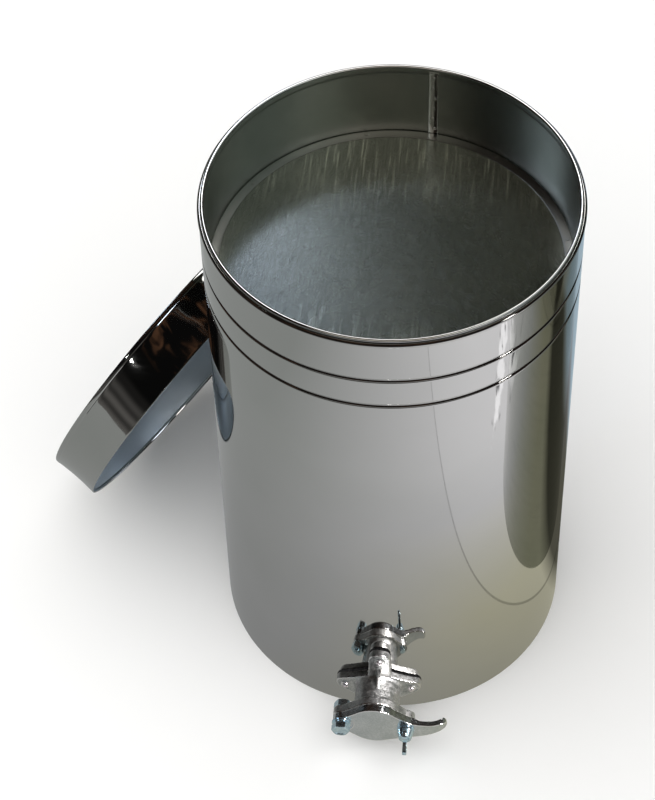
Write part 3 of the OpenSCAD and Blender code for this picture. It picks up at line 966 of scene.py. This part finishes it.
def upright_sheet(name, start, end, z0, z1):
    corners = [(*start, z0), (*end, z0), (*end, z1), (*start, z1)]
    return new_object(name, mesh_from(name, corners, [(0, 1, 2, 3)]))


def floor_paint():
    n = Nodes("floor_paint")
    n.set(Base_Color=colour(0.86, 0.86, 0.85), Roughness=0.9)
    return n.material


def table_card():
    """What the drum mirrors in front of it: a table, lighter to the right, with one joint across it."""
    n = Nodes("table_card")
    axes = n.add("ShaderNodeSeparateXYZ", {"Vector": n.where()})
    x, y = axes.outputs["X"], axes.outputs["Y"]
    far = n.math("POWER", n.math("ADD", n.math("MULTIPLY", x, x), n.math("MULTIPLY", y, y)), 0.5)
    across = n.spread(x, 0, 1, -0.5, 0.5)
    tone = n.mix(across, colour(0.31, 0.325, 0.318), colour(0.78, 0.775, 0.80))
    # Painted shade: the table is drawn darker close to the drum.
    painted_drum_shade = n.spread(far, 0.62, 1.03, 0.19, 0.50)
    warm = n.math("MULTIPLY", n.spread(far, 1, 0, 0.27, 0.42), n.spread(x, 0, 1, -0.15, 0.2))
    tone = n.mix(warm, tone, n.mix(1.0, tone, colour(1.0, 0.97, 0.72), "MULTIPLY"))
    joint_x, joint_half, joint_slant = 0.21, 0.0017, 0.1
    past = n.math("SUBTRACT", n.math("ADD", x, n.math("MULTIPLY", y, joint_slant)), joint_x)
    on_joint = n.math("LESS_THAN", n.math("ABSOLUTE", past), joint_half)
    beyond = n.math("MULTIPLY_ADD", n.math("GREATER_THAN", past, 0.0), 0.05)
    strength = n.math("MULTIPLY", n.math("MULTIPLY", painted_drum_shade, beyond), n.spread(on_joint, 1.0, 0.62, 0, 1))
    # A crumpled bright cloth beside the second drum, with dark folds
    cloth_x, cloth_y = 0.57, -0.262
    along = n.math("MULTIPLY", n.math("SUBTRACT", x, cloth_x), 9.0)
    across_it = n.math("MULTIPLY", n.math("SUBTRACT", y, cloth_y), 42.0)
    reach = n.math("ADD", n.math("MULTIPLY", along, along), n.math("MULTIPLY", across_it, across_it))
    reach = n.math("ADD", reach, n.spread(n.noise(30, 3), -1.0, 1.0, 0.3, 0.7))
    cloth = n.spread(reach, 0.5, 0, 0.7, 1.1, "SMOOTHSTEP")
    creases = n.spread(n.noise(26, 2, (1, 1, 3)), 0, 0.8, 0.55, 0.60)
    folds = n.math("MULTIPLY", creases, n.spread(reach, 1, 0, 1.2, 2.0))
    strength = n.math("MULTIPLY", n.math("ADD", strength, cloth), n.math("SUBTRACT", 1.0, folds))
    # Beside the second drum the table lies in its shade; behind that it is lit coolly again
    slope = n.math("DIVIDE", y, n.math("MAXIMUM", x, 0.05))
    shade = n.math("MULTIPLY", n.spread(slope, 0, 0.82, -0.10, 0.10), n.spread(x, 0, 1, 0.12, 0.20))
    cool = n.math("MULTIPLY", n.spread(slope, 0, 1, 0.75, 1.05), n.spread(x, 0, 1, 0.12, 0.20))
    strength = n.math("MULTIPLY", strength, n.math("SUBTRACT", 1.0, shade))
    strength = n.math("MULTIPLY_ADD", cool, 0.45, strength)
    tone = n.mix(cool, tone, colour(0.58, 0.74, 0.86))
    n.glow(tone, strength)
    return n.material


PANE_AT = (-0.243, 0.8, 1.36)


def window_card():
    """The wall behind: bluish and light on its left, dark on its right, with one small bright pane."""
    n = Nodes("window_card")
    x = n.add("ShaderNodeSeparateXYZ", {"Vector": n.where()}).outputs["X"]
    right_edge = n.spread(x, 1, 0, -0.26, -0.10, "SMOOTHSTEP")
    light = n.math("MULTIPLY", right_edge, n.spread(x, 0, 1, -0.44, -0.34))
    pane = n.add("ShaderNodeVectorMath", {0: n.where(), 1: PANE_AT}, operation="DISTANCE")
    glow = n.spread(pane.outputs["Value"], 4.5, 0, 0.03, 0.12, "SMOOTHSTEP")
    strength = n.math("ADD", n.math("MULTIPLY_ADD", light, 1.75, 0.05), glow)
    tone = n.mix(light, colour(0.60, 0.68, 0.52), colour(0.66, 0.76, 1.0))
    n.glow(tone, strength)
    return n.material


def haze_card():
    """Pale daylight low behind the drum, for the lid's inside."""
    n = Nodes("haze_card")
    height = n.add("ShaderNodeSeparateXYZ", {"Vector": n.where()}).outputs["Z"]
    n.glow(colour(0.60, 0.70, 0.85), n.spread(height, 0.9, 0.0, 0.05, 0.6))
    return n.material


def make_stage():
    # The floor and the table's card lie just below the drum's foot, one above the other
    floor_z, table_z, far = -0.0004, -0.0003, 9
    floor = stage_piece(sheet_at("floor", -far, far, -far, far, floor_z), floor_paint())
    floor.visible_glossy = False
    table = sheet_at("table_reflected", -1.6, 1.7, -1.8, 2.0, table_z)
    only_reflected(stage_piece(table, table_card()))
    window = upright_sheet("window_reflected", (-1.1, 0.8), (0.5, 0.8), 0.95, 2.1)
    only_reflected(stage_piece(window, window_card()))
    haze = upright_sheet("far_wall_reflected", (0.35, 1.35), (1.25, 0.55), 0.0, 0.6)
    only_reflected(stage_piece(haze, haze_card()))
    # A second drum stands close on the right; only its reflection shows, in steel painted darker as
    # shade.
    big_r, top = 225, 600
    side = [(big_r, 0), (big_r, top - 10), (big_r + 2, top - 3), (big_r - 2, top), (190, top)]
    neighbour = skin("neighbour_reflected", [circle_of(r, z, 128) for r, z in side])
    neighbour.location = (0.465, 0.032, 0)
    neighbour.data.shade_smooth()
    only_reflected(stage_piece(neighbour, dim_steel))


LAMP_AIM_Z = 0.35


def toward(azimuth, elevation, distance):
    """A place seen from the drum's middle in a given direction, in degrees and metres."""
    a, e = math.radians(azimuth), math.radians(elevation)
    flat = distance * math.cos(e)
    up = LAMP_AIM_Z + distance * math.sin(e)
    return Vector((flat * math.cos(a), flat * math.sin(a), up))


def soft_light(name, size, location, power, tint, pieces, aim_at=(0, 0, LAMP_AIM_Z)):
    """A rectangular lamp that lights the given pieces and nothing else."""
    data = bpy.data.lights.new(name, "AREA")
    data.shape = "RECTANGLE"
    data.size, data.size_y = size
    data.energy = power
    data.color = tint
    lamp = new_object(name, data)
    lamp.location = location
    aim = Vector(aim_at) - Vector(location)
    lamp.rotation_euler = aim.to_track_quat("-Z", "Y").to_euler()
    lamp.visible_camera = False
    group = bpy.data.collections.new(name + "_pieces")
    for piece in pieces:
        group.objects.link(bpy.data.objects[piece])
    lamp.light_linking.receiver_collection = group
    return lamp


def make_light():
    sun = bpy.data.lights.new("sky", "SUN")
    sun.energy = 4.25
    sun.angle = math.radians(120)
    lamp = new_object("sky", sun)
    lamp.rotation_euler = (math.radians(20), math.radians(-15), 0)
    lamp.visible_glossy = False
    rims = ["drum_wall", "strainer_wall"]
    lid = ["lid_band", "lid_disc"]
    castings = ["gate_casting", "blade_casting"]
    fittings = ["pivot_hex_bolt", "pivot_hex_nut", "pivot_spring_ring", "pivot_flat_ring", "lock_screw"]
    fittings += ["lock_ring", "forged_wing_nut", "flange_screw_set"]
    flat_steel = ["strainer_cloth", "clamp_ring", "hoop_lap"]
    strainer = flat_steel + ["strainer_wall"]
    warm_white = (1.0, 0.97, 0.96)
    soft_light("right_box", (0.16, 0.20), toward(-22, 40, 1.9), 1.6, warm_white, ["drum_wall"] + lid)
    soft_light("gate_lamp", (0.5, 0.5), toward(-25, 42, 1.7), 100, warm_white, castings + fittings)
    bluish, window_lit = (0.72, 0.84, 1.0), fittings + lid + flat_steel
    soft_light("left_window", (0.7, 0.7), toward(158, 40, 2.0), 6, bluish, window_lit)
    # Straight behind and as high as the camera, so that every rim's crest shows one thin line
    behind = 90 + math.degrees(CAMERA_AZIMUTH)
    soft_light("rim_lamp", (0.6, 0.55), toward(behind, 57, 1.25), 3.6, (1.0, 0.98, 0.97), rims)
    # The strainer's wall and mesh mirror each other, so their light comes from the front and the right
    wide, yellowish, greenish = (2.4, 1.2), (1.0, 0.95, 0.84), (0.88, 1.0, 0.98)
    soft_light("strainer_front", wide, toward(-75, 50, 1.7), 5.0, yellowish, strainer)
    soft_light("strainer_right", wide, toward(0, 50, 1.7), 5.0, greenish, strainer)
    glint = soft_light("glint_lamp", (0.10, 0.05), toward(-113, 26, 1.9), 0.35, (1, 1, 1), lid)
    # Daylight into the lid's hollow; the drum casts no shadow from this one
    daylight, place = (0.78, 0.88, 1.0), (0.45, 0.56, 1.18)
    lid_middle = lid_place.translation
    hollow = soft_light("lid_lamp", (0.45, 0.45), place, 1.7, daylight, ["lid_band"], lid_middle)
    hollow.light_linking.blocker_collection = glint.light_linking.receiver_collection
    scene.view_settings.view_transform = "Standard"


def make_room():
    """A dim room for the steel to mirror: grey low down, black above, a little brown overhead."""
    world = bpy.data.worlds.new("room")
    scene.world = world
    world.use_nodes = True
    n = Nodes("room", world)
    height = n.add("ShaderNodeSeparateXYZ", {"Vector": n.where("Generated")}).outputs["Z"]
    low = n.spread(height, 1, 0, 0.02, 0.38, "SMOOTHSTEP")
    streaks = n.noise(2.0, 2, (1, 1, 3), kind="Generated", twist=2.4)
    overhead = n.math("MULTIPLY", n.spread(streaks, 0, 1, 0.50, 0.62), n.spread(height, 0, 1, 0.6, 0.8))
    tone = n.mix(overhead, colour(0.004, 0.004, 0.004), colour(0.10, 0.05, 0.028))
    bands = n.spread(n.math("SINE", n.math("MULTIPLY", height, 42.0)), 0.35, 1.0, -1, 1)
    n.set(Color=n.mix(n.math("MULTIPLY", low, bands), tone, colour(0.12, 0.115, 0.11)))


make_stage()
make_light()
make_room()
